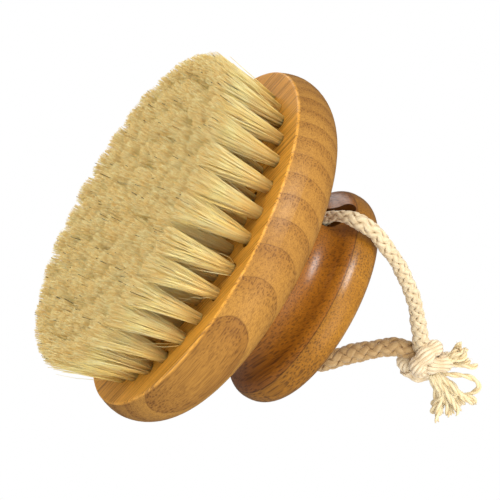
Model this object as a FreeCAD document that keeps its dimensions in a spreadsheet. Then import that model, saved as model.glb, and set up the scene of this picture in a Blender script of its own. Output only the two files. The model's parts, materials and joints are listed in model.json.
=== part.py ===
"""Round body dry brush: a turned bamboo head with bristle tufts below and a waisted knob above.

Frame: millimetres, +Z up through the middle of the head and the knob. Z = 0 is the plane of the
bristle tips, so the brush stands on it. +X runs along the cord hole through the knob.
Heights called "above the face" are measured up from the flat face that the bristles grow out of.
"""
import FreeCAD, Part
import math
import os

import Sketcher

doc = FreeCAD.newDocument("BodyDryBrush")

# ---------------------------------------------------------------------------------------------
# Driving dimensions, in millimetres and degrees. Heights are above the face.
# ---------------------------------------------------------------------------------------------
SIZES = {
    "bristle_length": 24.0,
    # head
    "head_radius": 57.5,
    "face_radius": 55.4,
    "face_edge_radius": 56.0,
    "face_edge_round": 0.6,
    "side_height": 6.1,
    "side_round": 14.2,
    "back_radius": 44.4,
    "back_height": 19.2,
    "back_round": 13.1,
    "foot_radius": 33.69,
    "head_thickness": 20.0,
    # tufts, their holes and their anchors
    "tuft_hole_radius": 1.9,
    "tuft_hole_depth": 7.0,
    "tuft_root_radius": 1.8,
    "tuft_root_depth": 6.9,
    "tuft_tip_radius": 4.3,
    "tuft_spread": 1.064,
    "anchor_length": 4.2,
    "anchor_thickness": 0.45,
    "anchor_height": 1.6,
    "anchor_bottom": 4.2,
    "anchor_gap": 0.05,
    # knob
    "foot_step": 20.31,
    "waist_radius": 26.6,
    "waist_height": 27.4,
    "waist_round": 7.09,
    "flare_radius": 31.25,
    "flare_height": 34.06,
    "rim_under_round": 5.8,
    "split_radius": 34.36,
    "split_height": 36.75,
    "rim_radius": 35.05,
    "rim_low": 39.5,
    "rim_high": 40.3,
    "rim_over_round": 6.3,
    "shoulder_radius": 28.75,
    "shoulder_height": 46.6,
    "crown_round": 120.0,
    "crown_radius": 12.0,
    "knob_height": 48.0,
    # hole for the cord, and the dowel that joins the knob to the head
    "bore_radius": 5.3,
    "bore_height": 31.0,
    "bore_cut_length": 90.0,
    "dowel_radius": 5.0,
    "dowel_low": 9.6,
    "dowel_high": 24.6,
    "dowel_gap": 0.05,
    "dowel_end_gap": 0.2,
    # cord
    "cord_radius": 2.6,
    "knot_reach": 7.6,
    "knot_width": 6.6,
    "knot_depth": 6.6,
    "short_tail_root": 2.7,
    "short_tail_end": 4.6,
    "long_tail_root": 2.7,
    "long_tail_end": 6.0,
}

# Tuft rings from the rim inwards: radius, number of tufts, angle of the first tuft.
RINGS = [
    (47.0, 33, 171.7),
    (37.6, 27, 242.1),
    (28.2, 20, 5.0),
    (18.8, 13, 12.0),
    (9.4, 7, 20.0),
    (0.0, 1, 0.0),
]
for number, (radius, count, start) in enumerate(RINGS, 1):
    SIZES["ring%d_radius" % number] = radius
    SIZES["ring%d_count" % number] = count
    SIZES["ring%d_start" % number] = start

# Centre line of the cord, from the knot through the hole and back to the knot. Measured from
# the middle of the hole.
CORD_PATH = [
    (-4.3, -3.4, 50.2),
    (-9.4, -5.1, 46.8),
    (-15.2, -6.9, 41.8),
    (-20.5, -8.6, 36.8),
    (-25.2, -10.3, 31.5),
    (-28.8, -11.6, 26.4),
    (-31.7, -12.8, 21.5),
    (-33.6, -13.7, 17.1),
    (-35.2, -14.0, 13.0),
    (-36.4, -14.0, 9.0),
    (-36.5, -13.2, 5.1),
    (-35.6, -11.1, 2.0),
    (-33.4, -7.7, -0.3),
    (-29.4, -3.0, -1.2),
    (-24.5, -0.9, -1.1),
    (-18.0, -0.2, -0.4),
    (0.0, 0.0, 0.0),
    (22.0, 0.0, 0.4),
    (28.0, 0.4, 0.6),
    (34.9, 2.4, 0.9),
    (38.5, 6.5, 3.0),
    (38.9, 10.6, 8.2),
    (36.4, 12.5, 14.0),
    (31.8, 12.1, 19.8),
    (25.6, 9.4, 25.2),
    (15.5, 0.9, 29.5),
    (9.2, 0.0, 33.8),
    (3.0, -1.3, 38.8),
    (-1.8, -2.6, 43.7),
    (-3.0, -3.4, 48.8),
]
for number, point in enumerate(CORD_PATH, 1):
    for axis, value in zip("xyz", point):
        SIZES["cord%d_%s" % (number, axis)] = value

# Middle of the knot, and the root and end of each frayed tail, from the middle of the hole.
CORD_POINTS = {
    "knot": (-2.0, -3.4, 52.2),
    "short_root": (-3.6, -3.4, 56.5),
    "short_end": (-10.4, -3.4, 62.6),
    "long_root": (-1.1, -4.1, 56.6),
    "long_end": (7.9, -5.9, 71.6),
}
for name, point in CORD_POINTS.items():
    for axis, value in zip("xyz", point):
        SIZES["%s_%s" % (name, axis)] = value

sheet = doc.addObject("Spreadsheet::Sheet", "Sizes")
for row, (alias, value) in enumerate(SIZES.items(), 1):
    sheet.set("A%d" % row, alias)
    sheet.set("B%d" % row, repr(value))
    sheet.setAlias("B%d" % row, alias)
doc.recompute()

FULL_TURN = 360
AXIS_LINE = {"x": -2, "y": -1}
nodes = []


def size(alias):
    """The value of one cell of the sheet."""
    return float(sheet.get(alias))


def vector(prefix):
    """The point held in the cells PREFIX_x, PREFIX_y and PREFIX_z."""
    return FreeCAD.Vector(*(size("%s_%s" % (prefix, axis)) for axis in "xyz"))


def bind(feature, **aliases):
    """Tie properties of a feature to cells, or to expressions that name Sizes themselves."""
    for name, text in aliases.items():
        feature.setExpression(name, text if "Sizes." in text else "Sizes." + text)


def new_body(label):
    """A body whose own Z = 0 is the face, lifted to the face's height in the brush."""
    body = doc.addObject("PartDesign::Body", label)
    body.Label = label
    bind(body, **{"Placement.Base.z": "bristle_length"})
    nodes.append(body)
    return body


def origin_feature(body, role):
    return next(f for f in body.Origin.OriginFeatures if f.Role == role)


def attach(body, feature, plane, **offsets):
    """Put a feature on one of its body's planes, with offsets along the plane's own axes."""
    feature.AttachmentSupport = [(origin_feature(body, plane), "")]
    feature.MapMode = "FlatFace"
    bind(feature, **{"AttachmentOffset.Base." + axis: text for axis, text in offsets.items()})
    return feature


def arc_between(start, end, radius, side):
    """The shorter arc from start to end. side is +1 if it bulges to the left of the way there."""
    chord = end - start
    half = chord.Length / 2
    rise = radius - math.sqrt(radius * radius - half * half)
    left = FreeCAD.Vector(-chord.y, chord.x, 0).normalize()
    return Part.Arc(start, (start + end) / 2 + left * rise * side, end)


def end_at(sketch, edge, point):
    """Which end of an edge lies at a point: 1 for its start, 2 for its end."""
    return next(end for end in (1, 2) if sketch.getPoint(edge, end).isEqual(point, 1e-6))


def hold(sketch, edge, end, kind, alias):
    """Hold one coordinate of an edge's end at a cell, or on the sketch's axis."""
    if alias == "0":
        axis = AXIS_LINE["x" if kind == "DistanceX" else "y"]
        sketch.addConstraint(Sketcher.Constraint("PointOnObject", edge, end, axis))
        return
    index = sketch.addConstraint(Sketcher.Constraint(kind, -1, 1, edge, end, size(alias)))
    bind(sketch, **{"Constraints[%d]" % index: alias})


def closed_outline(sketch, corners):
    """Draw a closed outline. A corner is (x, y), or (x, y, radius, side) if the edge that
    leaves it is an arc. Coordinates and radii name cells, and "0" is the axis."""
    points = [FreeCAD.Vector(*(0 if c == "0" else size(c) for c in corner[:2]), 0)
              for corner in corners]
    following = points[1:] + points[:1]
    for corner, start, end in zip(corners, points, following):
        if len(corner) > 2:
            sketch.addGeometry(arc_between(start, end, size(corner[2]), corner[3]))
        else:
            sketch.addGeometry(Part.LineSegment(start, end))
    for edge, (corner, start, end) in enumerate(zip(corners, points, following)):
        after = (edge + 1) % len(corners)
        sketch.addConstraint(Sketcher.Constraint(
            "Coincident", edge, end_at(sketch, edge, end), after, end_at(sketch, after, end)))
    for edge, (corner, start) in enumerate(zip(corners, points)):
        own_end = end_at(sketch, edge, start)
        hold(sketch, edge, own_end, "DistanceX", corner[0])
        hold(sketch, edge, own_end, "DistanceY", corner[1])
        if len(corner) > 2:
            index = sketch.addConstraint(Sketcher.Constraint("Radius", edge, size(corner[2])))
            bind(sketch, **{"Constraints[%d]" % index: corner[2]})


def turned(body, corners):
    """Turn a body from an outline drawn as (radius, height above the face)."""
    sketch = attach(body, body.newObject("Sketcher::SketchObject", "Outline"), "XZ_Plane")
    closed_outline(sketch, corners)
    turning = body.newObject("PartDesign::Revolution", "Turned")
    turning.Profile = sketch
    turning.ReferenceAxis = (sketch, ["V_Axis"])
    turning.Angle = FULL_TURN
    doc.recompute()
    return turning


def round_hole(body, radius, height, plane, **offsets):
    """Bore a round hole that starts at an offset from a plane and runs along its normal."""
    hole = body.newObject("PartDesign::SubtractiveCylinder", "Hole")
    attach(body, hole, plane, **offsets)
    bind(hole, Radius=radius, Height=height)
    return hole


def repeat_round(body, features, count):
    """Repeat features evenly about the body's Z axis, as many times as a cell says."""
    ring = body.newObject("PartDesign::PolarPattern", "Ring")
    ring.Originals = features
    ring.Axis = (origin_feature(body, "Z_Axis"), [""])
    ring.Angle = FULL_TURN
    bind(ring, Occurrences=count)
    body.Tip = ring
    doc.recompute()


def cut_cord_hole(body):
    """Bore the cord hole right through the knob along X."""
    round_hole(body, "bore_radius", "bore_cut_length", "YZ_Plane",
               y="bore_height", z="-Sizes.bore_cut_length / 2")


# ---------------------------------------------------------------------------------------------
# Head: a turned disc with a flat face, a full round side and a low back, drilled for the tufts.
# ---------------------------------------------------------------------------------------------
def make_head():
    head = new_body("head")
    turned(head, [
        ("0", "0"),
        ("face_radius", "0", "face_edge_round", -1),
        ("face_edge_radius", "face_edge_round", "side_round", -1),
        ("head_radius", "side_height", "back_round", -1),
        ("back_radius", "back_height"),
        ("foot_radius", "head_thickness"),
        ("0", "head_thickness"),
    ])
    for number in range(1, len(RINGS) + 1):
        angle = "(Sizes.ring%d_start * 1 deg)" % number
        hole = round_hole(head, "tuft_hole_radius", "tuft_hole_depth", "XY_Plane",
                          x="Sizes.ring%d_radius * cos%s" % (number, angle),
                          y="Sizes.ring%d_radius * sin%s" % (number, angle))
        doc.recompute()
        if size("ring%d_count" % number) > 1:
            repeat_round(head, [hole], "ring%d_count" % number)
    round_hole(head, "Sizes.dowel_radius + Sizes.dowel_gap",
               "Sizes.head_thickness - Sizes.dowel_low + Sizes.dowel_end_gap", "XY_Plane",
               z="Sizes.dowel_low - Sizes.dowel_end_gap")
    doc.recompute()


# ---------------------------------------------------------------------------------------------
# Knob: two blocks glued one on the other and turned together, with the cord hole through both.
# ---------------------------------------------------------------------------------------------
def make_knob_base():
    base = new_body("knob_base")
    turned(base, [
        ("0", "head_thickness"),
        ("foot_radius", "head_thickness"),
        ("foot_radius", "foot_step", "waist_round", 1),
        ("waist_radius", "waist_height", "waist_round", 1),
        ("flare_radius", "flare_height", "rim_under_round", -1),
        ("split_radius", "split_height"),
        ("0", "split_height"),
    ])
    cut_cord_hole(base)
    round_hole(base, "Sizes.dowel_radius + Sizes.dowel_gap",
               "Sizes.dowel_high - Sizes.head_thickness + Sizes.dowel_end_gap", "XY_Plane",
               z="head_thickness")
    doc.recompute()


def make_knob_crown():
    crown = new_body("knob_crown")
    turned(crown, [
        ("0", "split_height"),
        ("split_radius", "split_height", "rim_under_round", -1),
        ("rim_radius", "rim_low"),
        ("rim_radius", "rim_high", "rim_over_round", -1),
        ("shoulder_radius", "shoulder_height", "crown_round", -1),
        ("crown_radius", "knob_height"),
        ("0", "knob_height"),
    ])
    cut_cord_hole(crown)
    doc.recompute()


def make_dowel():
    """The hidden pin that centres the knob on the head and is glued into both."""
    dowel = new_body("dowel")
    pin = dowel.newObject("PartDesign::AdditiveCylinder", "Pin")
    attach(dowel, pin, "XY_Plane", z="dowel_low")
    bind(pin, Radius="dowel_radius", Height="Sizes.dowel_high - Sizes.dowel_low")
    doc.recompute()


# ---------------------------------------------------------------------------------------------
# Tufts: each one fills its hole, fans out to the plane of the tips and leans outwards a little.
# ---------------------------------------------------------------------------------------------
def ring_body(label, number):
    body = new_body("%s_%d" % (label, number))
    body.Placement.Rotation = FreeCAD.Rotation(FreeCAD.Vector(0, 0, 1), 0)
    bind(body, **{"Placement.Rotation.Angle": "ring%d_start" % number})
    return body


def circle_sketch(body, name, radius, **offsets):
    sketch = attach(body, body.newObject("Sketcher::SketchObject", name), "XY_Plane", **offsets)
    up = FreeCAD.Vector(0, 0, 1)
    sketch.addGeometry(Part.Circle(FreeCAD.Vector(0, 0, 0), up, size(radius)))
    sketch.addConstraint(Sketcher.Constraint("Coincident", 0, 3, -1, 1))
    index = sketch.addConstraint(Sketcher.Constraint("Radius", 0, size(radius)))
    bind(sketch, **{"Constraints[%d]" % index: radius})
    return sketch


def slot_for_anchor(body, ring_radius):
    """The window low in a tuft where its bristles fold round the anchor."""
    slot = body.newObject("PartDesign::SubtractiveBox", "Fold")
    attach(body, slot, "XY_Plane",
           x="%s - Sizes.anchor_thickness / 2 - Sizes.anchor_gap" % ring_radius,
           y="-Sizes.anchor_length / 2",
           z="Sizes.anchor_bottom - Sizes.anchor_gap")
    bind(slot, Length="Sizes.anchor_thickness + 2 * Sizes.anchor_gap",
         Width="anchor_length", Height="Sizes.anchor_height + 2 * Sizes.anchor_gap")
    return slot


def make_tufts(number):
    body = ring_body("tufts", number)
    ring_radius = "Sizes.ring%d_radius" % number
    root = circle_sketch(body, "Root", "tuft_root_radius", x=ring_radius)
    tip = circle_sketch(body, "Tip", "tuft_tip_radius", z="-Sizes.bristle_length",
                        x="%s * Sizes.tuft_spread" % ring_radius)
    doc.recompute()
    fan = body.newObject("PartDesign::AdditiveLoft", "Fan")
    fan.Profile = root
    fan.Sections = [tip]
    fan.Ruled = True
    doc.recompute()
    plug = body.newObject("PartDesign::AdditiveCylinder", "Plug")
    attach(body, plug, "XY_Plane", x=ring_radius)
    bind(plug, Radius="tuft_root_radius", Height="tuft_root_depth")
    doc.recompute()
    slot = slot_for_anchor(body, ring_radius)
    doc.recompute()
    if size("ring%d_count" % number) > 1:
        repeat_round(body, [fan, plug, slot], "ring%d_count" % number)


def make_anchors(number):
    """The flat wire staples that pin the folded tufts, driven in a little wider than the hole."""
    body = ring_body("anchors", number)
    staple = body.newObject("PartDesign::AdditiveBox", "Staple")
    attach(body, staple, "XY_Plane",
           x="Sizes.ring%d_radius - Sizes.anchor_thickness / 2" % number,
           y="-Sizes.anchor_length / 2", z="anchor_bottom")
    bind(staple, Length="anchor_thickness", Width="anchor_length", Height="anchor_height")
    doc.recompute()
    if size("ring%d_count" % number) > 1:
        repeat_round(body, [staple], "ring%d_count" % number)


# ---------------------------------------------------------------------------------------------
# Cord: one braided length through the hole, tied into a knot, its two ends frayed out.
# ---------------------------------------------------------------------------------------------
def lift_to_bore(part):
    """The cord's pieces are measured from the middle of the cord hole."""
    bind(part, **{"Placement.Base.z": "Sizes.bristle_length + Sizes.bore_height"})


def make_cord_loop():
    curve = Part.BSplineCurve()
    curve.interpolate([vector("cord%d" % number) for number in range(1, len(CORD_PATH) + 1)])
    begin = curve.StartPoint
    along = curve.tangent(curve.FirstParameter)[0]
    ring = Part.Wire([Part.makeCircle(size("cord_radius"), begin, along)])
    loop = doc.addObject("Part::Feature", "cord_loop")
    loop.Shape = Part.Wire([curve.toShape()]).makePipeShell([ring], True, False)
    loop.Label = "cord_loop"
    lift_to_bore(loop)
    nodes.append(loop)


def make_knot():
    knot = doc.addObject("Part::Ellipsoid", "cord_knot")
    knot.Label = "cord_knot"
    knot.Angle1 = -90
    knot.Angle2 = 90
    knot.Angle3 = FULL_TURN
    bind(knot, Radius1="knot_depth", Radius2="knot_reach", Radius3="knot_width",
         **{"Placement.Base.x": "knot_x", "Placement.Base.y": "knot_y",
            "Placement.Base.z": "Sizes.knot_z + Sizes.bristle_length + Sizes.bore_height"})
    nodes.append(knot)


def make_tail(label, prefix):
    """A frayed end: a cone that widens from the knot to the loose strands."""
    root, end = vector(prefix + "_root"), vector(prefix + "_end")
    tail = doc.addObject("Part::Cone", label)
    tail.Label = label
    tail.Height = (end - root).Length
    tail.Placement.Rotation = FreeCAD.Rotation(FreeCAD.Vector(0, 0, 1), end - root)
    bind(tail, Radius1=prefix + "_tail_root", Radius2=prefix + "_tail_end",
         **{"Placement.Base.x": prefix + "_root_x", "Placement.Base.y": prefix + "_root_y",
            "Placement.Base.z":
                "Sizes.%s_root_z + Sizes.bristle_length + Sizes.bore_height" % prefix})
    nodes.append(tail)


make_head()
make_knob_base()
make_knob_crown()
make_dowel()
for ring_number in range(1, len(RINGS) + 1):
    make_tufts(ring_number)
    make_anchors(ring_number)
make_cord_loop()
make_knot()
make_tail("cord_tail_short", "short")
make_tail("cord_tail_long", "long")
doc.recompute()

# ---------------------------------------------------------------------------------------------
# Check everything, then write one file per piece.
# ---------------------------------------------------------------------------------------------
for item in doc.Objects:
    if "Invalid" in item.State or "Error" in item.State:
        raise RuntimeError("%s is %s" % (item.Name, item.State))
for node in nodes:
    if node.Shape.isNull() or not node.Shape.isValid() or not node.Shape.Solids:
        raise RuntimeError("%s has no valid solid" % node.Label)

os.makedirs("parts", exist_ok=True)
for node in nodes:
    node.Shape.exportStep("parts/%s.step" % node.Label)
    box = node.Shape.BoundBox
    print("%-16s %3d solids  volume %10.1f  z %6.1f to %6.1f"
          % (node.Label, len(node.Shape.Solids), node.Shape.Volume, box.ZMin, box.ZMax))
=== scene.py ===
"""Body dry brush: the visual model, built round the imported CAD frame.

Metres, in the CAD frame: +Z up through the head and the knob, Z = 0 at the bristle tips.
Lengths are in millimetres, turned into metres with MM, unless a comment says metres.
"""

import json
import math

import bpy
import numpy as np
from mathutils import Euler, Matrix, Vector


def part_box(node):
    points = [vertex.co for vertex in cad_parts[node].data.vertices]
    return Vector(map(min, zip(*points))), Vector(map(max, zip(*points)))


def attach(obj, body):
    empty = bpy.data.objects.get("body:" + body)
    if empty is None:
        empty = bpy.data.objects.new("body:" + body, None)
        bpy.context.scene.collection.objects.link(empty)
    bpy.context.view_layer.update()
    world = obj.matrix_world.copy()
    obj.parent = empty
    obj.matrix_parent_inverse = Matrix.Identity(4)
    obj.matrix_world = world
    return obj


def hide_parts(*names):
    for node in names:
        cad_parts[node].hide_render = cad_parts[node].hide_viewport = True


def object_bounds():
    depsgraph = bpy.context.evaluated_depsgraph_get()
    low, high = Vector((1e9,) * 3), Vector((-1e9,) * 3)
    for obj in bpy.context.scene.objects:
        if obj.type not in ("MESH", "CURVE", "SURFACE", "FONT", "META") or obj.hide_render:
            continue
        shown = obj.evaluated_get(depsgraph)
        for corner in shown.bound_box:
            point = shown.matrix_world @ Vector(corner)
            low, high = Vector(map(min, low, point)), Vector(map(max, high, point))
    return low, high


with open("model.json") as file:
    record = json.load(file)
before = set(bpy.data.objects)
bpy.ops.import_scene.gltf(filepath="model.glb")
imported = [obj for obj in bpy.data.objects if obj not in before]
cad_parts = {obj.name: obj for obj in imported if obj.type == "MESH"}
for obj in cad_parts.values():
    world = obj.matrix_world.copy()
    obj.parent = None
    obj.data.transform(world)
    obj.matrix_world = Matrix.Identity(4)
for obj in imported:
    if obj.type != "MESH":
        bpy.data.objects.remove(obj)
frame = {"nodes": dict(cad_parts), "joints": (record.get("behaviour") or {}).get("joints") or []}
cad_low, cad_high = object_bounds()

MM = 0.001

# Sizes of the CAD part that the looks follow. The cord swings about the axis of its hole.
head_low, head_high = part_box("head")
BRISTLE_LENGTH = head_low.z / MM
HEAD_TOP = head_high.z / MM
HEAD_RADIUS = head_high.x / MM
KNOB_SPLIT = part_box("knob_crown")[0].z / MM
BORE_HEIGHT = frame["joints"][0]["pos_m"][2] / MM
BORE_RADIUS = 5.3
CORD_RADIUS = 2.6
# Tuft rings from the rim inwards: radius, number of tufts, angle of the first tuft.
RINGS = [
    (47.0, 33, 171.7),
    (37.6, 27, 242.1),
    (28.2, 20, 5.0),
    (18.8, 13, 12.0),
    (9.4, 7, 20.0),
    (0.0, 1, 0.0),
]

# Centre line of the cord from the knot, through the hole and back, from the hole's middle.
CORD_PATH = [
    (-4.3, -3.4, 50.2), (-9.1, -5.3, 46.5), (-14.6, -7.3, 41.3), (-19.8, -9.0, 36.3),
    (-24.4, -10.8, 30.9), (-28.0, -12.0, 25.8), (-31.1, -13.2, 21.1), (-33.2, -13.9, 16.8),
    (-35.0, -14.1, 12.8), (-36.4, -14.0, 9.0), (-36.5, -13.2, 5.1), (-35.6, -11.1, 2.0),
    (-33.4, -7.7, -0.3), (-29.4, -3.0, -1.2), (-24.5, -0.9, -1.1), (-18.0, -0.2, -0.4),
    (0.0, 0.0, 0.0), (22.0, 0.0, 0.4), (28.0, 0.4, 0.6), (34.9, 2.4, 0.9),
    (38.5, 6.5, 3.0), (38.9, 10.6, 8.2), (36.4, 12.5, 14.0), (31.8, 12.1, 19.8),
    (25.6, 9.4, 25.2), (15.5, 0.9, 29.5), (9.2, 0.0, 33.8), (3.0, -1.3, 38.8),
    (-1.8, -2.6, 43.7), (-3.0, -3.4, 48.8),
]
KNOT_CENTRE = (-2.8, -3.5, 53.3)
# One yarn of the long frayed end that stands away from it and curls back.
LOOSE_YARN = [
    (-1.5, -4.4, 58.5), (-3.7, -5.1, 62.8), (-5.8, -6.0, 65.9), (-6.2, -6.4, 69.4),
    (-4.8, -6.4, 71.6), (-2.3, -6.0, 71.5), (1.2, -5.6, 69.8), (4.5, -5.6, 68.8),
]

# The photograph's view: from which side, how the camera is rolled, how far off and aimed where.
VIEW_AZIMUTH = -25.0
VIEW_ELEVATION = -19.06
VIEW_ROLL = 118.81
VIEW_DISTANCE = 900.0
VIEW_TARGET = (-6.65, -3.1, 40.27)
VIEW_LENS = 215.97
SENSOR_WIDTH = 36.0

# Start of every random draw.
SEED = 7
FULL_CIRCLE = 2 * math.pi


# ---------------------------------------------------------------------------------------------
# Small helpers
# ---------------------------------------------------------------------------------------------
def srgb(red, green, blue):
    """A colour given as 0 to 255 display values, as the linear colour Blender works in."""
    values = []
    for channel in (red, green, blue):
        share = channel / 255
        values.append(share / 12.92 if share <= 0.04045 else ((share + 0.055) / 1.055) ** 2.4)
    return (*values, 1.0)


class Graph:
    """A material's node tree, with short ways to add and join nodes."""

    def __init__(self, name):
        self.material = bpy.data.materials.new(name)
        self.material.use_nodes = True
        self.tree = self.material.node_tree
        self.shader = self.tree.nodes["Principled BSDF"]

    def add(self, kind, **settings):
        node = self.tree.nodes.new("ShaderNode" + kind)
        for key, value in settings.items():
            setattr(node, key, value)
        return node

    def put(self, socket, value):
        """Give a socket a number, a colour or another node's output."""
        if isinstance(value, bpy.types.NodeSocket):
            self.tree.links.new(value, socket)
        else:
            socket.default_value = value

    def math(self, operation, *values):
        node = self.add("Math", operation=operation)
        for socket, value in zip(node.inputs, values):
            self.put(socket, value)
        return node.outputs[0]

    def blend(self, share, first, second, mode="MIX"):
        node = self.add("Mix", data_type="RGBA", blend_type=mode)
        node.clamp_factor = True
        self.put(node.inputs[0], share)
        self.put(node.inputs[6], first)
        self.put(node.inputs[7], second)
        return node.outputs[2]

    def smooth(self, value, low, high):
        """0 below low, 1 above high, eased between. High may lie below low."""
        node = self.add("MapRange", interpolation_type="SMOOTHSTEP")
        for socket, given in zip(node.inputs, (value, low, high, 0.0, 1.0)):
            self.put(socket, given)
        return node.outputs[0]

    def between(self, value, low, high):
        """Rescale a 0 to 1 value to run from low to high."""
        return self.math("MULTIPLY_ADD", value, high - low, low)

    def here(self):
        """The point being shaded, in metres in the part's frame."""
        return self.add("TexCoord").outputs["Object"]

    def parts(self, vector):
        node = self.add("SeparateXYZ")
        self.put(node.inputs[0], vector)
        return node.outputs

    def combine(self, x, y, z):
        node = self.add("CombineXYZ")
        for socket, value in zip(node.inputs, (x, y, z)):
            self.put(socket, value)
        return node.outputs[0]

    def length(self, x, y):
        node = self.add("VectorMath", operation="LENGTH")
        self.put(node.inputs[0], self.combine(x, y, 0.0))
        return node.outputs["Value"]

    def strand_data(self):
        """The three numbers that add_mesh stores at each point of a hair or a yarn."""
        node = self.add("SeparateColor")
        self.put(node.inputs[0], self.add("Attribute", attribute_name="strand").outputs["Color"])
        return node.outputs

    def cells(self, vector, spacing, scatter=1.0):
        """Distance to the nearest of many scattered points."""
        node = self.add("TexVoronoi", voronoi_dimensions="2D")
        node.inputs["Scale"].default_value = 1 / spacing
        node.inputs["Randomness"].default_value = scatter
        self.put(node.inputs["Vector"], vector)
        return node.outputs["Distance"]

    def noise(self, vector, scale, detail=2.0, roughness=0.5):
        node = self.add("TexNoise")
        self.put(node.inputs["Vector"], vector)
        node.inputs["Scale"].default_value = scale
        node.inputs["Detail"].default_value = detail
        node.inputs["Roughness"].default_value = roughness
        return node.outputs[0]

    def let_light_through(self, share, colour):
        """Part of the light that falls on the far side shows on this one."""
        behind = self.add("BsdfTranslucent")
        self.put(behind.inputs["Color"], colour)
        mix = self.add("MixShader")
        self.put(mix.inputs[0], share)
        self.put(mix.inputs[1], self.shader.outputs[0])
        self.put(mix.inputs[2], behind.outputs[0])
        self.put(self.tree.nodes["Material Output"].inputs["Surface"], mix.outputs[0])

    def bump(self, height, strength, distance):
        node = self.add("Bump")
        node.inputs["Strength"].default_value = strength
        node.inputs["Distance"].default_value = distance
        self.put(node.inputs["Height"], height)
        self.put(self.shader.inputs["Normal"], node.outputs[0])


# ---------------------------------------------------------------------------------------------
# Materials
# ---------------------------------------------------------------------------------------------
# Fibre bundles of the bamboo, and how far their pattern jumps from one strip to the next.
DOT_SPACING = 0.85
DOT_SCATTER = 0.75
SPECK_SPACING = DOT_SPACING / 1.9
STRIP_SHIFT = 13.7
# The turned edge between the head's face and its side.
RIM_RADIUS = HEAD_RADIUS - 1.8
RIM_HEIGHT = BRISTLE_LENGTH + 0.3
# Lines and bands: how far from their middle they begin and where they are full.
GLUE_LINE = (0.22, 0.02)
JOINT_LINE = (0.20, 0.05)
RUBBED_BAND = (0.6, 0.1)
BORE_WALL = (BORE_RADIUS + 0.25, BORE_RADIUS + 0.05)
# Painted bounce light on the face between the tufts, and the colour of the rubbed edge.
FACE_BOUNCE_LIGHT = srgb(240, 168, 54)
RUBBED_BAMBOO = srgb(236, 188, 120)


class Board:
    """Where a point lies in a board glued up from strips, in millimetres."""

    def __init__(self, g, grain_angle, strip_width, first_edge):
        turn = g.add("Mapping")
        turn.inputs["Rotation"].default_value = (0, 0, -math.radians(grain_angle))
        turn.inputs["Scale"].default_value = (1 / MM,) * 3
        g.put(turn.inputs["Vector"], g.here())
        self.g = g
        self.along, self.straight_across, self.height = g.parts(turn.outputs[0])
        # The strips' edges aren't quite straight.
        wobble = g.noise(self.stretched(0.02), 0.12, 1.0)
        self.across = g.math("ADD", self.straight_across, g.between(wobble, -0.4, 0.4))
        self.strip_width = strip_width
        place_in_strips = g.math("DIVIDE", g.math("ADD", self.across, first_edge), strip_width)
        self.strip = g.math("FLOOR", place_in_strips)
        self.share = g.math("SUBTRACT", place_in_strips, self.strip)

    def stretched(self, rate):
        """Coordinates for a pattern drawn out along the strips."""
        g = self.g
        return g.combine(g.math("MULTIPLY", self.along, rate), self.straight_across, self.height)


def fibre_dots(g, board, crowding, patch):
    """Fibre bundles, large and fine, as long thin cells laid afresh in each strip."""
    drift = g.noise(board.stretched(0.035), 0.5, 1.0)
    jump = g.math("MULTIPLY", board.strip, STRIP_SHIFT)
    shifted = g.math("ADD", g.math("ADD", board.across, jump), g.between(drift, -1.2, 1.2))
    section = g.combine(shifted, board.height, 0.0)
    reach = g.math("ADD", g.between(crowding, 0.20, 0.37), g.between(patch, -0.12, 0.10))
    dot = g.smooth(g.cells(section, DOT_SPACING, DOT_SCATTER), reach,
                   g.math("MULTIPLY", reach, 0.4))
    fine_dot = g.smooth(g.cells(section, SPECK_SPACING), 0.34, 0.12)
    return dot, fine_dot


def glue_lines(g, board):
    """1 on the joints between strips, between the knob's two blocks and below the knob."""
    to_edge = g.math("MINIMUM", board.share, g.math("SUBTRACT", 1.0, board.share))
    off_joint = g.math("MULTIPLY", board.strip_width, to_edge)
    line = g.math("MULTIPLY", g.smooth(off_joint, *GLUE_LINE), 0.6)
    for level in (KNOB_SPLIT, HEAD_TOP + 0.1):
        away = g.math("ABSOLUTE", g.math("SUBTRACT", board.height, level))
        line = g.math("MAXIMUM", line, g.smooth(away, *JOINT_LINE))
    return line


def rubbed_edge(g, board):
    """1 on the turned edge between the head's face and its side."""
    off_axis = g.length(board.along, board.across)
    off_edge = g.math("ABSOLUTE", g.math("SUBTRACT", off_axis, RIM_RADIUS))
    off_face = g.math("ABSOLUTE", g.math("SUBTRACT", board.height, RIM_HEIGHT))
    return g.math("MULTIPLY", g.smooth(off_edge, *RUBBED_BAND), g.smooth(off_face, *RUBBED_BAND))


def bore_wall(g, board):
    """1 on the wall of the cord hole, which runs along X."""
    aside = g.math("DIVIDE", g.parts(g.here())[1], MM)
    off_axis = g.length(aside, g.math("SUBTRACT", board.height, BORE_HEIGHT))
    return g.smooth(off_axis, *BORE_WALL)


def lacquer(g, gloss, coat, fibre, dot, line, bare):
    """A clear coat, which the bare places lack, over fibres and joints a little below the wood."""
    rough = g.math("ADD", g.between(fibre, gloss - 0.05, gloss + 0.12),
                   g.math("MULTIPLY", dot, 0.12))
    g.put(g.shader.inputs["Roughness"], rough)
    g.shader.inputs["Specular IOR Level"].default_value = 0.35
    g.put(g.shader.inputs["Coat Weight"], g.between(bare, coat, 0.0))
    g.shader.inputs["Coat Roughness"].default_value = gloss
    relief = g.math("SUBTRACT", g.math("MULTIPLY", fibre, 0.4), g.math("MULTIPLY", dot, 0.5))
    relief = g.math("SUBTRACT", relief, g.math("MULTIPLY", line, 1.5))
    g.bump(relief, 0.4, 0.06 * MM)


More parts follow.
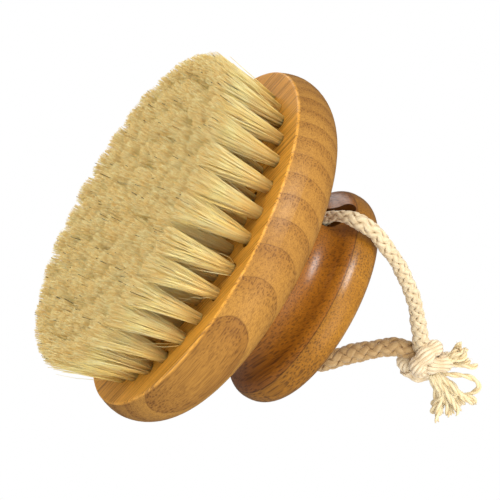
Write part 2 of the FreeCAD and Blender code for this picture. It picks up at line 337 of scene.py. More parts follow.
def bamboo(name, *, grain_angle, strip_width, first_edge, dense_at, least_dots,
           pale, deep, dot_colour, gloss, coat):
    """Laminated bamboo as a solid: strips side by side, fibre bundles running along them.

    The bundles show as dots on end grain and as streaks along the strips. Each strip has them
    crowded on one side, where the culm's skin was, and sparse on the other: dense_at is the
    share of the width where they are densest, and least_dots how crowded they stay elsewhere.
    """
    g = Graph(name)
    board = Board(g, grain_angle, strip_width, first_edge)
    tone = g.add("TexWhiteNoise", noise_dimensions="1D")
    g.put(tone.inputs["W"], g.math("ADD", board.strip, grain_angle))
    crowding = g.smooth(board.share, 1.0 - dense_at, dense_at)
    crowding = g.math("MAXIMUM", g.math("POWER", crowding, 1.8), least_dots)
    patch = g.noise(board.stretched(0.05), 0.35, 2.0)
    dot, fine_dot = fibre_dots(g, board, crowding, patch)
    # Fine fibre between the bundles, and slow changes of tone along and across a strip.
    fibre = g.noise(board.stretched(0.06), 4.0, 3.0, 0.7)
    streak = g.noise(board.stretched(0.03), 1.1, 2.0, 0.6)
    cloud = g.noise(board.stretched(0.3), 0.09, 3.0)

    body = g.blend(g.between(tone.outputs[0], 0.0, 0.35), pale, deep)
    body = g.blend(g.math("MULTIPLY", crowding, 0.5), body, deep)
    body = g.blend(g.between(g.smooth(cloud, 0.35, 0.7), 0.0, 0.45), body, pale)
    # The face shows the strips' long grain; it is painted brighter and warmer orange, standing in
    # for light bounced off the bristles onto it.
    face = g.smooth(board.height, BRISTLE_LENGTH + 1.0, BRISTLE_LENGTH + 0.2)
    body = g.blend(g.math("MULTIPLY", face, 0.7), body, FACE_BOUNCE_LIGHT)
    body = g.blend(g.between(g.smooth(streak, 0.42, 0.75), 0.0, 0.35), body, dot_colour)
    body = g.blend(g.between(g.smooth(fibre, 0.35, 0.7), 0.0, 0.28), body, dot_colour)
    body = g.blend(g.between(fine_dot, 0.0, 0.30), body, dot_colour)
    body = g.blend(g.math("MULTIPLY", dot, g.between(crowding, 0.36, 0.62)), body, dot_colour)
    line = glue_lines(g, board)
    body = g.blend(g.math("MULTIPLY", line, 0.62), body, dot_colour)
    patchy = g.between(g.smooth(patch, 0.45, 0.7), 0.0, 0.25)
    body = g.blend(g.math("MULTIPLY", rubbed_edge(g, board), patchy), body, RUBBED_BAMBOO)
    # The wall of the cord hole has no lacquer, and its dark colour is painted shade of the deep
    # hole.
    bare = bore_wall(g, board)
    body = g.blend(g.math("MULTIPLY", bare, 0.85), body, dot_colour)
    g.put(g.shader.inputs["Base Color"], body)
    lacquer(g, gloss, coat, fibre, dot, line, bare)
    return g.material


# How fine the patterns are: features, or turns of a yarn, for each metre.
BRISTLE_CLOUDS = 260.0
COTTON_CLOUDS = 190.0
COTTON_FUZZ = 2600.0
YARN_TWIST = 260.0
WIRE_LINES = 3000.0
FLOOR_GRAIN = 60.0
# Painted shade that browns the cord's far leg, and the metres over which it sets in on either side
# of its start.
FAR_LEG_SHADE_COLOUR = srgb(216, 196, 168)
FAR_LEG_SHADE_EASE = 0.012


def bristle_material():
    """Natural bristle: straw coloured at the root, cream to the tip, a few dark ones."""
    g = Graph("natural_bristle")
    chance, along, dark = g.strand_data()
    straw = g.blend(chance, srgb(255, 228, 140), srgb(255, 241, 176))
    cream = g.blend(chance, srgb(255, 244, 190), srgb(255, 252, 222))
    colour = g.blend(g.smooth(along, 0.0, 0.75), straw, cream)
    # The cut ends differ more from hair to hair than the lengths do; their darker tone is painted
    # shade.
    shaded_cut_end = g.blend(chance, srgb(238, 209, 138), srgb(255, 250, 212))
    near_end = g.smooth(along, 0.86, 0.98)
    colour = g.blend(g.math("MULTIPLY", near_end, 0.8), colour, shaded_cut_end)
    cloud = g.noise(g.here(), BRISTLE_CLOUDS, 2.0)
    clouded = g.between(g.smooth(cloud, 0.35, 0.7), 0.0, 0.25)
    colour = g.blend(clouded, colour, srgb(248, 216, 138))
    dark_end = g.math("MULTIPLY", dark, g.smooth(along, 0.72, 0.82))
    colour = g.blend(dark_end, colour, srgb(64, 40, 22))
    g.put(g.shader.inputs["Base Color"], colour)
    g.put(g.shader.inputs["Roughness"], g.between(chance, 0.28, 0.45))
    g.shader.inputs["Specular IOR Level"].default_value = 0.6
    g.let_light_through(0.7, colour)
    return g.material


def cotton_material(name, light, shade, shade_from=None):
    """Cotton yarn: fine twisted fibres across each strand, with painted shade in the valleys.

    Past the given length, in metres along the strand, the yarn is browner with painted shade.
    """
    g = Graph(name)
    around, along, height = g.strand_data()
    twist = g.math("MULTIPLY_ADD", along, YARN_TWIST, g.math("MULTIPLY", around, 3.0))
    ply = g.math("SINE", g.math("MULTIPLY", twist, FULL_CIRCLE))
    place = g.here()
    fuzz = g.noise(place, COTTON_FUZZ, 3.0, 0.7)
    cloud = g.noise(place, COTTON_CLOUDS, 2.0)
    # Painted shade: darker where the yarn lies low on the braid, between its plies and on the
    # filling.
    colour = g.blend(g.smooth(height, 0.0, 0.9), shade, light)
    colour = g.blend(g.between(g.smooth(fuzz, 0.35, 0.65), 0.0, 0.3), colour, shade)
    colour = g.blend(g.between(g.smooth(cloud, 0.4, 0.7), 0.0, 0.25), colour, shade)
    colour = g.blend(g.smooth(ply, 0.2, -1.0), colour, g.blend(0.35, colour, shade))
    if shade_from is not None:
        # Painted shade: the far leg is darkened and browner.
        far_leg_shade = g.smooth(along, shade_from - FAR_LEG_SHADE_EASE, shade_from + FAR_LEG_SHADE_EASE)
        colour = g.blend(far_leg_shade, colour, FAR_LEG_SHADE_COLOUR, "MULTIPLY")
    g.put(g.shader.inputs["Base Color"], colour)
    g.shader.inputs["Roughness"].default_value = 0.85
    g.shader.inputs["Sheen Weight"].default_value = 0.5
    g.shader.inputs["Sheen Roughness"].default_value = 0.4
    g.bump(g.math("ADD", g.math("MULTIPLY", ply, 0.3), g.math("MULTIPLY", fuzz, 0.6)),
           0.7, 0.12 * MM)
    g.let_light_through(0.25, colour)
    return g.material


def wire_material():
    """Drawn steel staple wire with fine lengthwise lines."""
    g = Graph("staple_wire")
    lines = g.noise(g.here(), WIRE_LINES, 2.0)
    steel = g.blend(lines, (0.42, 0.42, 0.43, 1), (0.7, 0.7, 0.7, 1))
    g.put(g.shader.inputs["Base Color"], steel)
    g.shader.inputs["Metallic"].default_value = 1.0
    g.put(g.shader.inputs["Roughness"], g.between(lines, 0.3, 0.5))
    return g.material


# ---------------------------------------------------------------------------------------------
# Mesh building
# ---------------------------------------------------------------------------------------------
def add_mesh(name, points, faces, material, strand):
    """A mesh object from points in millimetres and faces, with the strand data as a colour."""
    mesh = bpy.data.meshes.new(name)
    mesh.from_pydata((np.asarray(points) * MM).tolist(), [], faces)
    mesh.materials.append(material)
    layer = mesh.attributes.new("strand", "FLOAT_COLOR", "POINT")
    values = np.ones((len(strand), 4), np.float32)
    values[:, :3] = strand
    layer.data.foreach_set("color", values.ravel())
    mesh.polygons.foreach_set("use_smooth", [True] * len(mesh.polygons))
    obj = bpy.data.objects.new(name, mesh)
    bpy.context.scene.collection.objects.link(obj)
    return obj


def stand_in(obj, node, body):
    """Let an object replace a CAD node and move with the node's body."""
    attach(obj, body)
    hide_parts(node)


def circle_angles(count):
    """Angles of the corners of a round section."""
    return np.arange(count) * FULL_CIRCLE / count


def round_section(first, second, sides):
    """Unit vectors to the corners of a round section, at each point of a path."""
    turn = circle_angles(sides)
    return (first[:, None] * np.cos(turn)[None, :, None]
            + second[:, None] * np.sin(turn)[None, :, None])


def tube_faces(tubes, stations, sides, first=0):
    """Side quads and end caps of equal tubes whose points run side, then station, then tube."""
    faces = []
    for tube in range(tubes):
        base = first + tube * stations * sides
        for station in range(stations - 1):
            ring = base + station * sides
            for side in range(sides):
                after = (side + 1) % sides
                faces.append((ring + side, ring + after, ring + sides + after, ring + sides + side))
        last = base + (stations - 1) * sides
        faces.append(tuple(base + side for side in reversed(range(sides))))
        faces.append(tuple(last + side for side in range(sides)))
    return faces


def unit(vectors):
    """Vectors drawn out or in to a length of 1."""
    return vectors / np.maximum(np.linalg.norm(vectors, axis=-1, keepdims=True), 1e-9)


def smooth_path(points, step):
    """Points every step along a natural cubic spline through the given ones."""
    points = np.asarray(points, float)
    lengths = np.linalg.norm(np.diff(points, axis=0), axis=1)
    knots = np.concatenate([[0], np.cumsum(lengths)])
    count = len(points)
    # Solve for the second derivatives, then evaluate each span.
    system = np.eye(count)
    right = np.zeros((count, 3))
    for i in range(1, count - 1):
        before, after = lengths[i - 1], lengths[i]
        system[i, i - 1:i + 2] = before, 2 * (before + after), after
        slope_after = (points[i + 1] - points[i]) / after
        slope_before = (points[i] - points[i - 1]) / before
        right[i] = 6 * (slope_after - slope_before)
    bend = np.linalg.solve(system, right)
    where = np.linspace(0, knots[-1], max(int(knots[-1] / step), 2) + 1)
    span = np.clip(np.searchsorted(knots, where, side="right") - 1, 0, count - 2)
    width = lengths[span][:, None]
    ahead = (knots[span + 1] - where)[:, None]
    behind = (where - knots[span])[:, None]
    return (bend[span] * ahead ** 3 / (6 * width) + bend[span + 1] * behind ** 3 / (6 * width)
            + (points[span] / width - bend[span] * width / 6) * ahead
            + (points[span + 1] / width - bend[span + 1] * width / 6) * behind)


def travelled(path):
    """Length along the path from its start to each of its points."""
    steps = np.linalg.norm(np.diff(path, axis=0), axis=1)
    return np.concatenate([[0], np.cumsum(steps)])


def frames_along(path):
    """Two unit vectors across the path at each point, turning as little as they can."""
    along = unit(np.gradient(path, axis=0))
    start = np.cross(along[0], (0.0, 0.0, 1.0))
    if np.linalg.norm(start) < 0.1:
        start = np.cross(along[0], (1.0, 0.0, 0.0))
    first = [unit(start)]
    for direction in along[1:]:
        carried = first[-1] - direction * np.dot(first[-1], direction)
        first.append(unit(carried))
    first = np.array(first)
    return first, np.cross(along, first)


# ---------------------------------------------------------------------------------------------
# Bristles
# ---------------------------------------------------------------------------------------------
# The rim ring's hairs make 198,000 triangles; above 200,000 the export would thin them out.
BRISTLES_PER_TUFT = 300
BRISTLE_STATIONS = 4
BRISTLE_SIDES = 3
BRISTLE_THICKNESS = (0.125, 0.18)
BRISTLE_TAPER = ((0, 0.5, 1), (1.15, 0.95, 0.5))
ROOT_RADIUS = 1.6
ROOT_DEPTH = 1.6
TIP_RADIUS = 4.5
TIP_SCATTER = 0.6
# How far a hair bows sideways by chance, and by what share of its lean it bows outwards.
BEND = 0.55
FLARE = 0.12
# By chance, each tuft stands off its even place, in degrees, leans, and is longer or shorter.
TUFT_DRIFT = 0.5
TUFT_SWAY = 0.35
TUFT_TRIM = 0.175
# The tufts splay outwards from the brush's axis, and the whole bed leans to +X.
TUFT_SPREAD = 1.03
TIP_LEAN = (1.6, 0.0)
CLUMPS = 30
CLUMP_PULL = 0.05
# Tips end a little above the plane of the tips, raggedly. They end higher towards the edge of
# their tuft, and past RIM_START from the axis, both by the square of the distance.
TIP_CLEARANCE = 0.15
TIP_HEIGHTS = (0.05, 9.0)
RAGGED = 0.45
SHORT_BY = 3.0
EDGE_LOSS = 0.035
RIM_START = 49.0
RIM_LOSS = 0.13
# A few hairs are dark and thick, and a few are stray, short and thin.
DARK_SHARE = 0.004
DARK_THICKNESS = 1.4
STRAY_SHARE = 0.01
STRAY_THICKNESS = 0.6
STRAY_REACH = 2.2
STRAY_SAG = 4.0
STRAY_HEIGHTS = (4.0, 17.0)


def random_disc(rng, count, radius):
    """Points spread evenly over a disc."""
    angle = rng.uniform(0, FULL_CIRCLE, count)
    reach = radius * np.sqrt(rng.uniform(0, 1, count))
    return np.stack([reach * np.cos(angle), reach * np.sin(angle)], 1)


def clumped(rng, offsets, owner, tufts):
    """Draw the hairs of each tuft a little towards a few centres, as real hairs stick together."""
    centres = random_disc(rng, tufts * CLUMPS, TIP_RADIUS).reshape(tufts, CLUMPS, 2)
    away = np.linalg.norm(offsets[:, None] - centres[owner], axis=2)
    nearest = centres[owner, away.argmin(axis=1)]
    return offsets + (nearest - offsets) * CLUMP_PULL


def bristle_ends(rng, radius, count, start, per_tuft):
    """Root and tip of every hair in a ring of tufts, which are stray, and how dark each is."""
    total = count * per_tuft
    owner = np.repeat(np.arange(count), per_tuft)
    angles = np.radians(start + np.arange(count) * 360 / count + rng.normal(0, TUFT_DRIFT, count))
    centres = radius * np.stack([np.cos(angles), np.sin(angles)], 1)
    tuft_lean = rng.normal(0, TUFT_SWAY, (count, 2))
    tuft_trim = rng.normal(0, TUFT_TRIM, count)

    root_offset = random_disc(rng, total, ROOT_RADIUS)
    tip_offset = root_offset / ROOT_RADIUS * TIP_RADIUS + rng.normal(0, TIP_SCATTER, (total, 2))
    tip_offset = clumped(rng, tip_offset, owner, count)
    stray = rng.uniform(0, 1, total) < STRAY_SHARE
    tip_offset[stray] += rng.normal(0, STRAY_REACH, (stray.sum(), 2))
    dark = (rng.uniform(0, 1, total) < DARK_SHARE) * rng.uniform(0.6, 1.0, total)

    root = np.zeros((total, 3))
    root[:, :2] = centres[owner] + root_offset
    root[:, 2] = BRISTLE_LENGTH + ROOT_DEPTH
    tip = np.zeros((total, 3))
    tip[:, :2] = centres[owner] * TUFT_SPREAD + TIP_LEAN + tuft_lean[owner] + tip_offset
    rounded = EDGE_LOSS * np.linalg.norm(tip_offset, axis=1) ** 2
    past_rim = np.clip(np.linalg.norm(tip[:, :2] - TIP_LEAN, axis=1) - RIM_START, 0, None)
    rounded += RIM_LOSS * past_rim ** 2
    ragged = np.abs(rng.normal(0, RAGGED, total)) + rng.uniform(0, 1, total) ** 6 * SHORT_BY
    ragged[dark > 0] = 0
    height = TIP_CLEARANCE + tuft_trim[owner] + ragged + rounded
    tip[:, 2] = np.clip(height, *TIP_HEIGHTS)
    tip[stray, 2] = rng.uniform(*STRAY_HEIGHTS, stray.sum())
    return root, tip, stray, dark


def bristle_lines(rng, root, tip, stray):
    """Each hair as a gentle curve from its root to its tip."""
    sag = np.zeros(root.shape)
    sway = rng.normal(0, BEND, (len(root), 2))
    sag[:, :2] = sway * np.where(stray, STRAY_SAG, 1.0)[:, None]
    sag[:, :2] -= (tip[:, :2] - root[:, :2]) * FLARE
    middle = (root + tip) / 2 + sag
    share = np.linspace(0, 1, BRISTLE_STATIONS)[None, :, None]
    return ((1 - share) ** 2 * root[:, None] + 2 * share * (1 - share) * middle[:, None]
            + share ** 2 * tip[:, None])


def bristle_ring(number, radius, count, start, material):
    """All the bristles of one ring of tufts, each a thin three-sided tapering hair.

    The strand data of a hair are a random number, the share of its length and how dark it is.
    """
    rng = np.random.default_rng([SEED, number])
    per_tuft = BRISTLES_PER_TUFT // 1
    total = count * per_tuft
    root, tip, stray, dark = bristle_ends(rng, radius, count, start, per_tuft)
    line = bristle_lines(rng, root, tip, stray)

    thickness = rng.uniform(*BRISTLE_THICKNESS, total)
    thickness[stray] *= STRAY_THICKNESS
    thickness[dark > 0] *= DARK_THICKNESS
    share = np.linspace(0, 1, BRISTLE_STATIONS)
    taper = np.interp(share, *BRISTLE_TAPER)
    turn = rng.uniform(0, FULL_CIRCLE, total)
    corner = turn[:, None] - circle_angles(BRISTLE_SIDES)
    ring = np.stack([np.cos(corner), np.sin(corner), np.zeros_like(corner)], -1)
    points = line[:, :, None] + (ring[:, None] * (thickness[:, None] * taper)[..., None, None])

    chance = rng.uniform(0, 1, total)
    strand = np.empty(points.shape)
    strand[..., 0] = chance[:, None, None]
    strand[..., 1] = share[None, :, None]
    strand[..., 2] = dark[:, None, None]
    faces = tube_faces(total, BRISTLE_STATIONS, BRISTLE_SIDES)
    obj = add_mesh("bristles_%d" % number, points.reshape(-1, 3), faces, material,
                   strand.reshape(-1, 3))
    stand_in(obj, "tufts_%d" % number, "brush")


# ---------------------------------------------------------------------------------------------
# Cord
# ---------------------------------------------------------------------------------------------
BRAID_PITCH = 22.0
STRANDS_EACH_WAY = 5
STRAND_SIDES = 8
CORE_SHADE = 0.45
# Shares of the cord's radius: the middle of the strands, the filling inside them, how far a
# strand rises, how thick it is, and how wide all strands of one way are together when the
# cord is wound one way or both ways.
STRAND_REACH = 0.74
FILLING = 0.97 * STRAND_REACH
STRAND_RISE = 0.11
STRAND_THICK = 0.20
STRAND_WIDE = {1: 2.7, 2: 2.05}
# Slow thick and thin places: share of the radius, radians a millimetre, start.
SWELLS = ((0.04, 0.55, 0.0), (0.03, 0.23, 1.0))


def braid(path, radius, pitch=BRAID_PITCH, ways=(1, -1), strands=STRANDS_EACH_WAY):
    """Strands wound round a path, both ways if asked, passing over one and under the next.

    Returns points, faces and strand data: the share of the way round the strand, metres along
    the cord, and how high the point stands on the braid.
    """
    first, second = frames_along(path)
    travel = travelled(path)
    stations = len(path)
    swell = 1 + sum(size * np.sin(travel * rate + start) for size, rate, start in SWELLS)
    radius = radius * swell
    wide = radius * STRAND_WIDE[len(ways)] / strands
    thick = radius * STRAND_THICK
    turn = circle_angles(STRAND_SIDES)
    filling = round_section(first, second, STRAND_SIDES) * (radius * FILLING)[:, None, None]
    points = [(path[:, None] + filling).reshape(-1, 3)]
    strand = [np.full((stations * STRAND_SIDES, 3), CORE_SHADE)]
    strand[0][:, 1] = np.repeat(travel * MM, STRAND_SIDES)
    for way in ways:
        for number in range(strands):
            phase = FULL_CIRCLE * travel / pitch
            angle = way * phase + FULL_CIRCLE * number / strands
            lift = way * np.cos(strands * phase)
            reach = radius * (STRAND_REACH + STRAND_RISE * lift)
            out = np.cos(angle)[:, None] * first + np.sin(angle)[:, None] * second
            centre = path + out * reach[:, None]
            heading = unit(np.gradient(centre, axis=0))
            aside = unit(np.cross(out, heading))
            outward = unit(np.cross(heading, aside))
            ring = (aside[:, None] * (wide[:, None] * np.cos(turn))[:, :, None]
                    + outward[:, None] * (thick[:, None] * np.sin(turn))[:, :, None])
            points.append((centre[:, None] + ring).reshape(-1, 3))
            data = np.empty((stations, STRAND_SIDES, 3))
            data[..., 0] = turn / FULL_CIRCLE
            data[..., 1] = (travel * MM)[:, None]
            # Highest on top of a strand that passes over, lowest beside one that dips under.
            top = np.sin(turn)[None] * 0.5 + 0.5
            data[..., 2] = np.clip((lift[:, None] * 0.3 + 0.55) * top + 0.1, 0, 1)
            strand.append(data.reshape(-1, 3))
    faces = tube_faces(len(points), stations, STRAND_SIDES)
    return np.concatenate(points), faces, np.concatenate(strand)


def from_bore(points):
    """Points measured from the middle of the cord hole, as points in the part."""
    return np.asarray(points, float) + (0, 0, BORE_HEIGHT)


CORD_STEP = 0.5
# Where the far leg starts, in metres along the cord from the knot.
FAR_LEG_START = 0.138
# The cord is squeezed and pushed a little aside where it leaves the hole.
PINCH_AT = (-31.5, -5.0, -0.7)
PINCH_LENGTH = 6.0
PINCH_SHARE = 0.32
PINCH_SHIFT = (0.5, -0.7, 0.0)
# How thick the braid is for its nominal radius, by share of its length.
CORD_STRETCH = (
    (0.0, 0.05, 0.12, 0.30, 0.66, 0.78, 1.0),
    (1.04, 0.98, 0.86, 0.92, 0.94, 1.12, 1.14),
)


def cord_loop(material):
    """The braid from the knot through the hole and back, pinched where it leaves the hole."""
    path = smooth_path(from_bore(CORD_PATH), CORD_STEP)
    away = np.linalg.norm(path - from_bore(PINCH_AT), axis=1)
    pinch = np.exp(-(away / PINCH_LENGTH) ** 2)
    path = path + np.outer(pinch, PINCH_SHIFT)
    share = np.linspace(0, 1, len(path))
    pull = np.interp(share, *CORD_STRETCH)
    points, faces, strand = braid(path, CORD_RADIUS * pull * (1 - PINCH_SHARE * pinch))
    obj = add_mesh("braided_cord", points, faces, material, strand)
    stand_in(obj, "cord_loop", "loop")


KNOT_MAJOR = 3.9
KNOT_MINOR = 2.75
KNOT_CORD = 2.75
KNOT_TILT = (58, 24, 15)
KNOT_PITCH = 46.0
KNOT_STATIONS = 150
KNOT_STRANDS = 11


def cord_knot(material):
    """A tight overhand knot: the cord runs three times round while it circles twice."""
    turn = np.linspace(0, FULL_CIRCLE, KNOT_STATIONS)
    reach = KNOT_MAJOR + KNOT_MINOR * np.cos(3 * turn)
    flat = np.stack([reach * np.cos(2 * turn), reach * np.sin(2 * turn),
                     KNOT_MINOR * np.sin(3 * turn)], 1)
    tilt = np.array(Euler(np.radians(KNOT_TILT)).to_matrix())
    path = flat @ tilt.T + from_bore(KNOT_CENTRE)
    radius = KNOT_CORD * np.ones(len(path))
    points, faces, strand = braid(path, radius, KNOT_PITCH, (1,), KNOT_STRANDS)
    obj = add_mesh("tied_knot", points, faces, material, strand)
    stand_in(obj, "cord_knot", "loop")


PLY_RADIUS = 0.56
PLY_OFFSET = 0.34
PLY_PITCH = 9.0
PLY_SIDES = 7
PLY_PARTING = ((0, 0.8, 1.0), (1.0, 1.0, 1.5))
PLY_TAPER = ((0, 0.75, 0.93, 1.0), (1.0, 1.05, 0.95, 0.35))
HAIR_RADIUS = 0.09
HAIR_TAPER = 0.6
HAIR_SIDES = 3
YARN_STEP = 0.45
# Half waves of the two wiggles of a loose yarn, and how late they set in.
WAVES = (1.5, 2.9)
WAVE_GROWTH = 1.3
# Metres by which each loose yarn or hair is shifted along the cotton's pattern.
LENGTH_MARK = 0.013
# The twist of a yarn starts anywhere within about a full turn.
TWIST_START = 6.3


def ply_tubes(line, start_turn, length_mark):
    """Two plies twisted round each other along a line, parting a little at the free end."""
    first, second = frames_along(line)
    travel = travelled(line)
    share = travel / travel[-1]
    part = np.interp(share, *PLY_PARTING)
    size = PLY_RADIUS * np.interp(share, *PLY_TAPER)
    ring = round_section(first, second, PLY_SIDES)
    tubes = []
    for ply in (0, 1):
        angle = start_turn + ply * math.pi + travel * FULL_CIRCLE / PLY_PITCH
        out = np.cos(angle)[:, None] * first + np.sin(angle)[:, None] * second
        centre = line + out * (PLY_OFFSET * part)[:, None]
        points = centre[:, None] + ring * size[:, None, None]
        data = np.empty(points.shape)
        data[..., 0] = np.arange(PLY_SIDES) / PLY_SIDES
        data[..., 1] = (travel * MM + length_mark)[:, None]
        # High on the outer side of a ply, low between the two.
        facing = (out[:, None] * ring).sum(-1)
        data[..., 2] = np.clip(0.55 + 0.45 * facing, 0, 1)
        tubes.append((points, data))
    return tubes


def hair_tube(line, length_mark):
    """One fine loose hair along a line."""
    first, second = frames_along(line)
    share = np.linspace(0, 1, len(line))
    ring = round_section(first, second, HAIR_SIDES)
    points = line[:, None] + ring * (HAIR_RADIUS * (1 - HAIR_TAPER * share))[:, None, None]
    data = np.full(points.shape, 0.7)
    data[..., 1] = length_mark
    return points, data


def join_tubes(tubes):
    """Points, faces and strand data of tubes of any length and any number of sides."""
    points, data, faces = [], [], []
    first = 0
    for tube_points, tube_data in tubes:
        stations, sides = tube_points.shape[:2]
        faces += tube_faces(1, stations, sides, first)
        first += stations * sides
        points.append(tube_points.reshape(-1, 3))
        data.append(tube_data.reshape(-1, 3))
    return np.concatenate(points), faces, np.concatenate(data)


def bent_line(root, waist, end, curl, side, other):
    """A line from root past waist to end that waves more and more towards its end."""
    count = int((np.linalg.norm(waist - root) + np.linalg.norm(end - waist)) / YARN_STEP) + 3
    s = np.linspace(0, 1, count)[:, None]
    line = (1 - s) ** 2 * root + 2 * s * (1 - s) * waist + s ** 2 * end
    wave = np.sin(s * math.pi * np.array(WAVES)) * s ** WAVE_GROWTH
    return line + side * (wave @ curl[0])[:, None] + other * (wave @ curl[1])[:, None]


# How a frayed end spreads: at the knot, at its waist, and by chance.
ROOT_SPREAD = (1.5, 1.5)
WAIST_SPREAD = (2.3, 2.0)
NEAR_CHANCE = 0.12
YARN_CHANCE = 0.5
HAIR_CHANCE = 1.0
YARN_CURL = 0.9
HAIR_CURL = 1.35
# How far along it the tips end, and how much sooner those at its edge do.
TIP_REACH = (0.78, 1.06)
EDGE_SHORTFALL = 0.10


def frayed_tail(name, node, material, *, root, waist, end, side, fan, yarns, hairs, extra=()):
    """Loose yarns and hairs that leave the knot together and part towards their ends.

    The bunch opens most along side; fan is how far it opens that way and across it. A path in
    extra is one more yarn, led along its given points.
    """
    rng = np.random.default_rng([SEED, yarns, hairs])
    root, waist, end = from_bore((root, waist, end))
    axis = unit(end - waist)
    side = unit(np.asarray(side) - axis * np.dot(side, axis))
    other = np.cross(axis, side)

    def spread(spot, size):
        return side * spot[0] * size[0] + other * spot[1] * size[1]

    tubes = []
    for number in range(yarns + hairs):
        is_hair = number >= yarns
        spot = random_disc(rng, 1, 1.0)[0]
        near = spot + rng.normal(0, NEAR_CHANCE, 2)
        far = spot * fan + rng.normal(0, HAIR_CHANCE if is_hair else YARN_CHANCE, 2)
        begin = root + spread(near, ROOT_SPREAD)
        middle = waist + spread(near, WAIST_SPREAD)
        reach = rng.uniform(*TIP_REACH) - EDGE_SHORTFALL * np.dot(spot, spot)
        last = waist + (end - waist) * reach + spread(far, (1, 1))
        curl = rng.normal(0, HAIR_CURL if is_hair else YARN_CURL, (2, 2))
        line = bent_line(begin, middle, last, curl, side, other)
        if is_hair:
            tubes.append(hair_tube(line, number * LENGTH_MARK))
        else:
            tubes += ply_tubes(line, rng.uniform(0, TWIST_START), number * LENGTH_MARK)
    for path in extra:
        line = smooth_path(from_bore(path), YARN_STEP)
        tubes += ply_tubes(line, start_turn=0.0, length_mark=0.5)
    points, faces, data = join_tubes(tubes)
    obj = add_mesh(name, points, faces, material, data)
    stand_in(obj, node, "loop")


# ---------------------------------------------------------------------------------------------
# Build the pieces
# ---------------------------------------------------------------------------------------------
head_bamboo = bamboo(
    "head_bamboo", grain_angle=12.0, strip_width=6.55, first_edge=0.5, dense_at=0.9,
    least_dots=0.0, pale=srgb(175, 125, 50), deep=srgb(131, 82, 24), dot_colour=srgb(88, 48, 10),
    gloss=0.42, coat=0.08)
base_bamboo = bamboo(
    "knob_base_bamboo", grain_angle=30.0, strip_width=30.0, first_edge=6.1, dense_at=0.1,
    least_dots=0.6, pale=srgb(168, 106, 26), deep=srgb(132, 74, 12), dot_colour=srgb(56, 26, 4),
    gloss=0.3, coat=0.55)
crown_bamboo = bamboo(
    "knob_crown_bamboo", grain_angle=30.0, strip_width=30.0, first_edge=6.1, dense_at=0.1,
    least_dots=0.6, pale=srgb(176, 120, 32), deep=srgb(140, 86, 16), dot_colour=srgb(66, 34, 6),
    gloss=0.28, coat=0.6)
bristle = bristle_material()
cotton = cotton_material("braided_cotton", srgb(236, 220, 184), srgb(200, 170, 124),
                         FAR_LEG_START)
knot_cotton = cotton_material("knotted_cotton", srgb(244, 228, 196), srgb(214, 188, 146))
loose_cotton = cotton_material("frayed_cotton", srgb(242, 228, 188), srgb(218, 192, 142))
wire = wire_material()

# Pieces that keep their CAD shape.
cad_looks = {
    "head": head_bamboo,
    "knob_base": base_bamboo,
    "knob_crown": crown_bamboo,
    "dowel": crown_bamboo,
}
for number in range(1, len(RINGS) + 1):
    cad_looks["anchors_%d" % number] = wire
for node, material in cad_looks.items():
    looks = frame["nodes"][node].data.materials
    looks.clear()
    looks.append(material)

for number, (radius, count, start) in enumerate(RINGS, 1):
    bristle_ring(number, radius, count, start, bristle)
cord_loop(cotton)
cord_knot(knot_cotton)
frayed_tail(
    "frayed_end_short", "cord_tail_short", loose_cotton,
    root=(-2.2, -3.8, 55.5), waist=(-5.8, -3.9, 59.9), end=(-12.8, -3.5, 62.0),
    side=(0.5, -0.07, 0.86), fan=(5.0, 2.6), yarns=15, hairs=10)
frayed_tail(
    "frayed_end_long", "cord_tail_long", loose_cotton,
    root=(-1.1, -4.8, 57.0), waist=(0.9, -6.0, 63.4), end=(6.6, -6.0, 70.4),
    side=(-0.56, -0.06, 0.83), fan=(6.4, 3.6), yarns=32, hairs=14, extra=(LOOSE_YARN,))


# ---------------------------------------------------------------------------------------------
# Camera, lights and floor
# ---------------------------------------------------------------------------------------------
def set_camera():
    """The camera of the photograph."""
    azimuth, elevation = math.radians(VIEW_AZIMUTH), math.radians(VIEW_ELEVATION)
    back = Vector((math.sin(azimuth) * math.cos(elevation),
                   -math.cos(azimuth) * math.cos(elevation), math.sin(elevation)))
    camera = bpy.data.objects.new("camera", bpy.data.cameras.new("camera"))
    camera.data.lens = VIEW_LENS
    camera.data.sensor_width = SENSOR_WIDTH
    camera.data.clip_start = 0.05
    camera.location = Vector(VIEW_TARGET) * MM + back * VIEW_DISTANCE * MM
    camera.rotation_mode = "QUATERNION"
    roll = Euler((0, 0, math.radians(VIEW_ROLL))).to_quaternion()
    camera.rotation_quaternion = (-back).to_track_quat("-Z", "Y") @ roll
    bpy.context.scene.collection.objects.link(camera)
    bpy.context.scene.camera = camera
    return camera


def add_light(name, camera, *, place, power, width, shines=True):
    """A soft square lamp; place is how far right of, above and before the part the camera sees it.

    Metres and watts. A lamp that doesn't shine lights the part but leaves no highlight on it.
    """
    view = camera.rotation_quaternion.to_matrix()
    middle = (cad_low + cad_high) / 2
    lamp = bpy.data.lights.new(name, "AREA")
    lamp.size = width
    lamp.energy = power
    obj = bpy.data.objects.new(name, lamp)
    obj.location = middle + view @ Vector(place)
    obj.rotation_mode = "QUATERNION"
    obj.rotation_quaternion = (middle - obj.location).to_track_quat("-Z", "Y")
    obj.visible_glossy = shines
    bpy.context.scene.collection.objects.link(obj)


# Strength of the white surroundings: from the picture's top, from its foot, in reflections
# and as the camera sees them.
WORLD_ABOVE = 1.05
WORLD_BELOW = 1.0
WORLD_REFLECTED = 0.1
WORLD_SEEN = 1.0


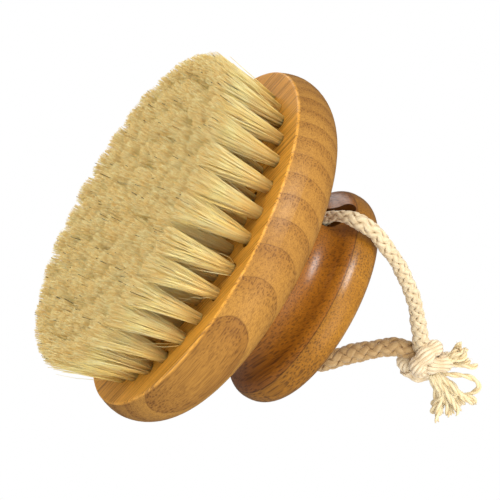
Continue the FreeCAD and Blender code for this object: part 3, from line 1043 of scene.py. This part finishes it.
def pale_world(camera):
    """Plain white round the part; as a light it is brighter from the picture's top."""
    world = bpy.data.worlds.new("pale_world")
    bpy.context.scene.world = world
    world.use_nodes = True
    nodes, links = world.node_tree.nodes, world.node_tree.links
    back = nodes["Background"]
    back.inputs["Color"].default_value = (1, 1, 1, 1)
    place = nodes.new("ShaderNodeTexCoord")
    facing = nodes.new("ShaderNodeVectorMath")
    facing.operation = "DOT_PRODUCT"
    links.new(place.outputs["Generated"], facing.inputs[0])
    facing.inputs[1].default_value = camera.rotation_quaternion @ Vector((0, 1, 0))
    ramp = nodes.new("ShaderNodeMapRange")
    links.new(facing.outputs["Value"], ramp.inputs["Value"])
    for key, value in (("From Min", -1.0), ("From Max", 1.0), ("To Min", WORLD_BELOW),
                       ("To Max", WORLD_ABOVE)):
        ramp.inputs[key].default_value = value
    rays = nodes.new("ShaderNodeLightPath")
    strength = ramp.outputs[0]
    for ray, level in (("Is Glossy Ray", WORLD_REFLECTED), ("Is Camera Ray", WORLD_SEEN)):
        step = nodes.new("ShaderNodeMix")
        links.new(rays.outputs[ray], step.inputs[0])
        links.new(strength, step.inputs[2])
        step.inputs[3].default_value = level
        strength = step.outputs[0]
    links.new(strength, back.inputs["Strength"])


# Half the floor's width and its height, in metres.
FLOOR_HALF = 1.5
FLOOR_LEVEL = -0.0002


def pale_floor():
    """A floor under the bristle tips that only shows from above."""
    corners = [(x * FLOOR_HALF, y * FLOOR_HALF, FLOOR_LEVEL)
               for x, y in ((-1, -1), (1, -1), (1, 1), (-1, 1))]
    mesh = bpy.data.meshes.new("floor")
    mesh.from_pydata(corners, [], [(0, 1, 2, 3)])
    g = Graph("pale_floor")
    grain = g.noise(g.here(), FLOOR_GRAIN, 3.0)
    g.put(g.shader.inputs["Base Color"],
          g.blend(grain, (0.80, 0.80, 0.79, 1), (0.86, 0.86, 0.85, 1)))
    g.shader.inputs["Roughness"].default_value = 0.7
    clear = g.add("BsdfTransparent")
    choose = g.add("MixShader")
    g.put(choose.inputs[0], g.add("NewGeometry").outputs["Backfacing"])
    g.put(choose.inputs[1], g.shader.outputs[0])
    g.put(choose.inputs[2], clear.outputs[0])
    g.put(g.tree.nodes["Material Output"].inputs["Surface"], choose.outputs[0])
    mesh.materials.append(g.material)
    floor = bpy.data.objects.new("floor", mesh)
    bpy.context.scene.collection.objects.link(floor)
    floor.visible_diffuse = False
    floor.visible_glossy = False
    floor.visible_transmission = False
    floor.visible_shadow = False


camera = set_camera()
pale_world(camera)
pale_floor()
add_light("key", camera, place=(0.4, 0.6, 0.85), power=7.5, width=0.45)
add_light("fill", camera, place=(0.5, -0.5, 0.8), power=9.0, width=0.9, shines=False)
add_light("side", camera, place=(-0.8, 0.4, 0.5), power=2.4, width=0.8)
add_light("back", camera, place=(-0.4, 0.7, -0.7), power=1.6, width=0.6)
bpy.context.scene.view_settings.view_transform = "Standard"
